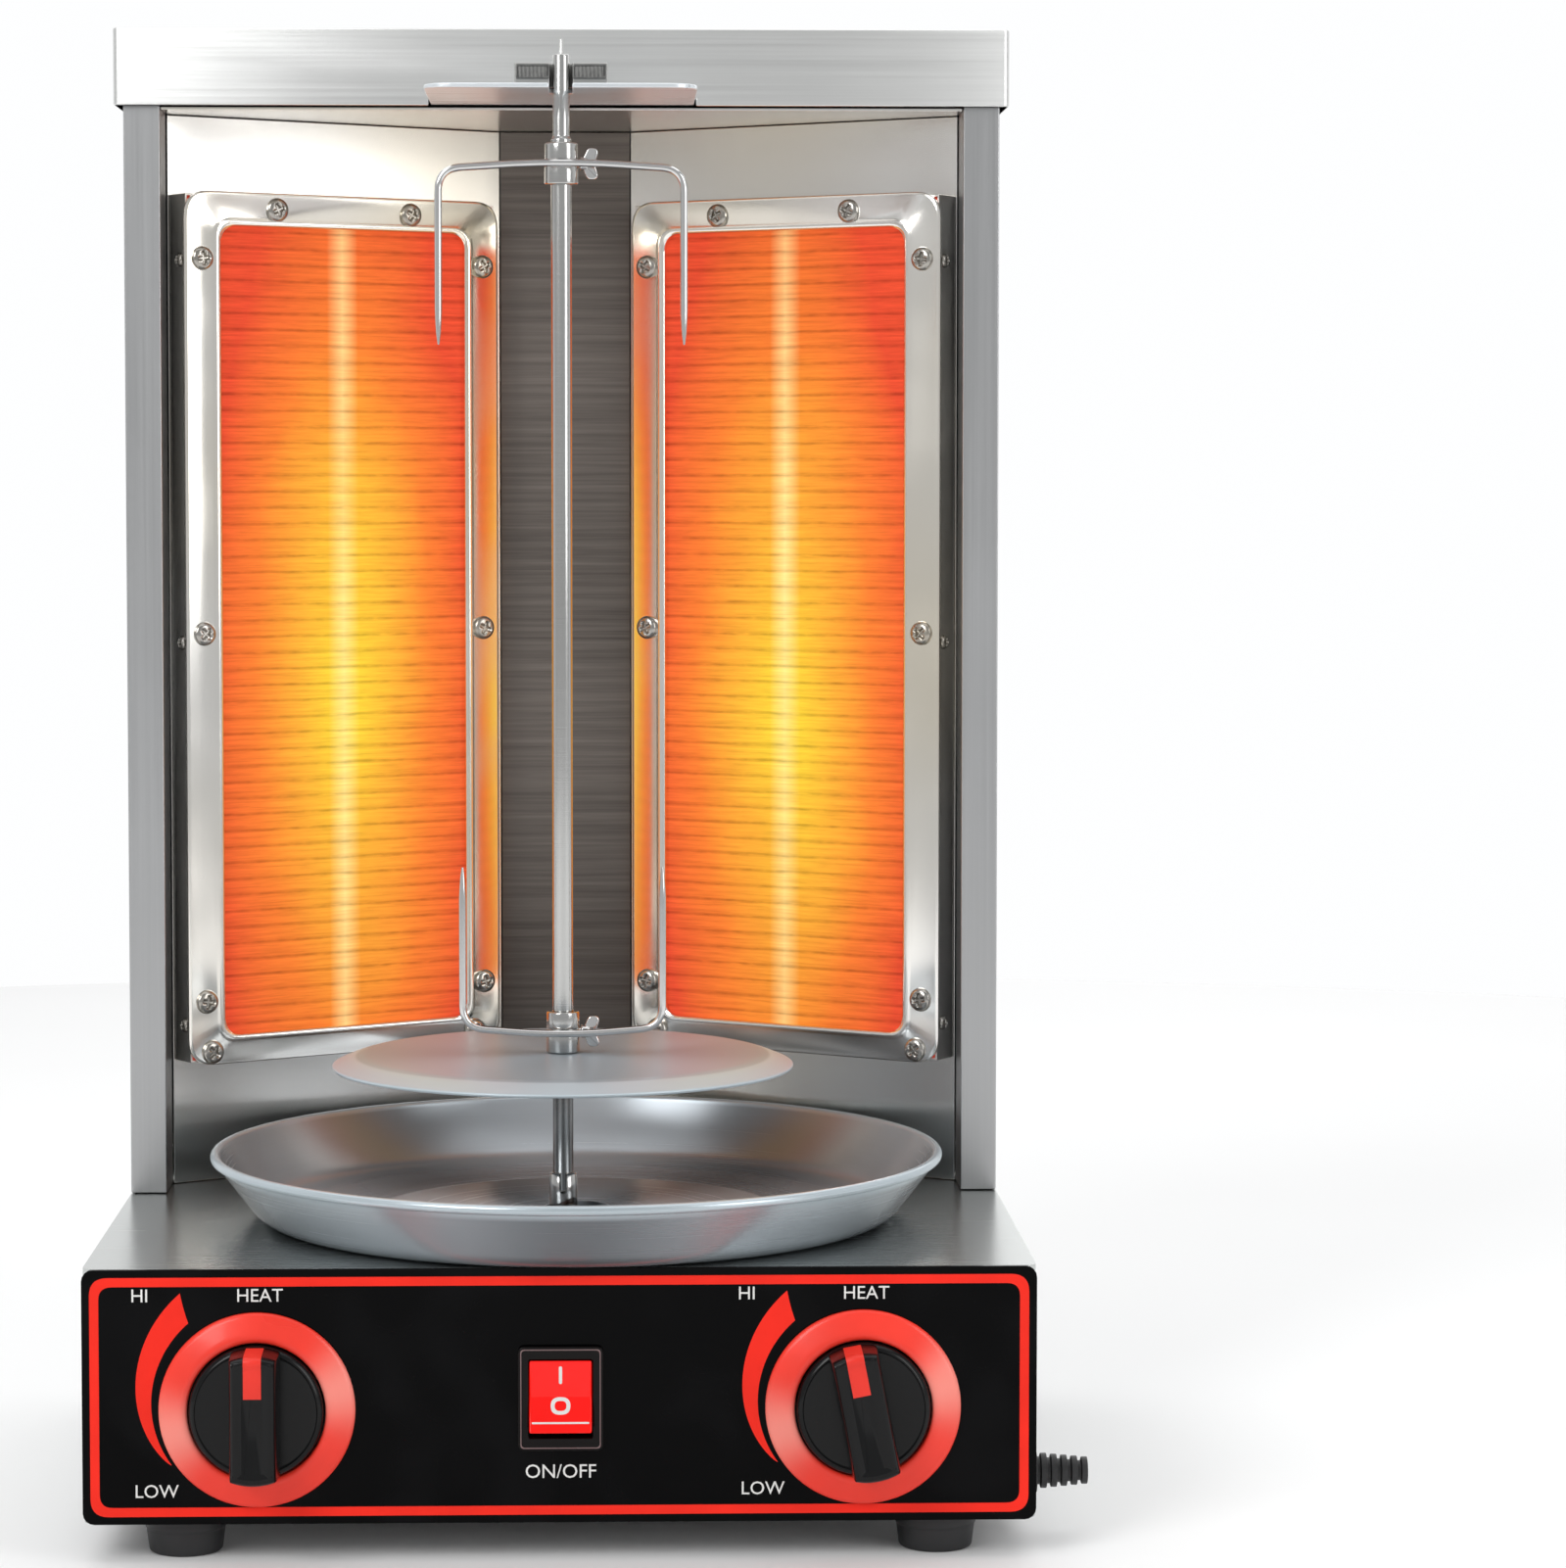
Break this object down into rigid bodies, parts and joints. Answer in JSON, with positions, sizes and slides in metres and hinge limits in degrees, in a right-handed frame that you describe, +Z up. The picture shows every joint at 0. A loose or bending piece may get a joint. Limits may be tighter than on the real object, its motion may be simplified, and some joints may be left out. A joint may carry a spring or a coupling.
{
  "type": "rotisserie oven",
  "caption": "Vertical rotisserie oven with a motor-driven upright spit, wire forks, drip pan, angled radiant heaters, and a front panel with heat knobs and a rocker switch.",
  "frame": {"origin": "on the ground under the middle of the whole oven", "axes": "+X to the right of someone facing its front, +Y towards its back, +Z up; the control panel faces -Y"},
  "size_m": [0.311, 0.2728, 0.4773],
  "materials": {
    "brushed_steel": "brushed stainless sheet",
    "polished_steel": "polished stainless",
    "dark_steel": "heat-darkened steel",
    "black_panel": "glossy black printed panel with a red border",
    "red_plastic": "satin red plastic",
    "black_plastic": "satin black plastic",
    "black_rubber": "black rubber",
    "hot_ceramic": "glowing grooved ceramic heater face",
    "insulation_board": "matt ceramic fibre board",
    "brass": "turned brass"
  },
  "bodies": {
    "housing": {"base_shell": "brushed_steel", "base_floor": "brushed_steel", "front_panel": "black_panel", "foot_front_left": "black_rubber", "foot_front_right": "black_rubber", "foot_rear_left": "black_rubber", "foot_rear_right": "black_rubber", "side_panel_left": "brushed_steel", "side_panel_right": "brushed_steel", "rear_cover": "brushed_steel", "canopy": "brushed_steel", "ceiling_panel": "polished_steel", "back_column": "dark_steel", "reflector_left": "polished_steel", "reflector_right": "polished_steel", "heater_box_left": "polished_steel", "heater_box_right": "polished_steel", "heater_frame_left": "polished_steel", "heater_frame_right": "polished_steel", "heater_plate_left": "hot_ceramic", "heater_plate_right": "hot_ceramic", "heating_element_left": "dark_steel", "heating_element_right": "dark_steel", "insulation_board_left": "insulation_board", "insulation_board_right": "insulation_board", "gear_motor": "brushed_steel", "motor_bracket": "brushed_steel", "spit_bracket": "brushed_steel", "spit_rest": "dark_steel", "knob_ring_left": "red_plastic", "knob_ring_right": "red_plastic", "heat_control_left": "black_plastic", "heat_control_right": "black_plastic", "switch_housing": "black_plastic", "cable_gland": "black_rubber", "gland_nut": "brass", "terminal_block": "black_plastic"},
    "drive": {"motor_shaft": "brushed_steel", "drive_coupling": "polished_steel"},
    "spit": {"spit_rod": "polished_steel", "meat_disc": "brushed_steel", "disc_hub": "brushed_steel"},
    "lower_fork": {"lower_fork_wire": "polished_steel", "lower_fork_collar": "polished_steel"},
    "lower_thumbscrew": {"lower_fork_thumbscrew": "polished_steel"},
    "upper_fork": {"upper_fork_wire": "polished_steel", "upper_fork_collar": "polished_steel"},
    "upper_thumbscrew": {"upper_fork_thumbscrew": "polished_steel"},
    "pan": {"drip_pan": "brushed_steel"},
    "knob_left": {"knob_left": "black_plastic", "control_shaft_left": "brushed_steel"},
    "knob_right": {"knob_right": "black_plastic", "control_shaft_right": "brushed_steel"},
    "rocker": {"switch_rocker": "red_plastic"}
  },
  "joints": [
    {"name": "spit_spin", "type": "hinge", "parent": "housing", "child": "drive", "pos_m": [-0.0075, -0.01786, 0.1], "axis": [0, 0, 1], "continuous": true},
    {"name": "spit_lift", "type": "slide", "parent": "drive", "child": "spit", "axis": [0, 0, 1], "range_m": [0, 0.009]},
    {"name": "lower_fork_slide", "type": "slide", "parent": "spit", "child": "lower_fork", "axis": [0, 0, 1], "range_m": [0, 0.06]},
    {"name": "lower_thumbscrew_turn", "type": "hinge", "parent": "lower_fork", "child": "lower_thumbscrew", "pos_m": [-0.0075, -0.01786, 0.14995], "axis": [1, 0, 0], "range_deg": [0, 360]},
    {"name": "upper_fork_slide", "type": "slide", "parent": "spit", "child": "upper_fork", "axis": [0, 0, 1], "range_m": [-0.09, 0.005]},
    {"name": "upper_thumbscrew_turn", "type": "hinge", "parent": "upper_fork", "child": "upper_thumbscrew", "pos_m": [-0.0075, -0.01786, 0.42995], "axis": [1, 0, 0], "range_deg": [0, 360]},
    {"name": "pan_lift", "type": "slide", "parent": "housing", "child": "pan", "axis": [0, 0, 1], "range_m": [0, 0.015]},
    {"name": "knob_left_turn", "type": "hinge", "parent": "housing", "child": "knob_left", "pos_m": [-0.0995, -0.11467, 0.0472], "axis": [0, -1, 0], "range_deg": [0, 150]},
    {"name": "knob_right_turn", "type": "hinge", "parent": "housing", "child": "knob_right", "pos_m": [0.0845, -0.11467, 0.0472], "axis": [0, -1, 0], "range_deg": [-11, 139]},
    {"name": "rocker_tip", "type": "hinge", "parent": "housing", "child": "rocker", "pos_m": [-0.0075, -0.11346, 0.0503], "axis": [1, 0, 0], "range_deg": [0, 24]}
  ]
}
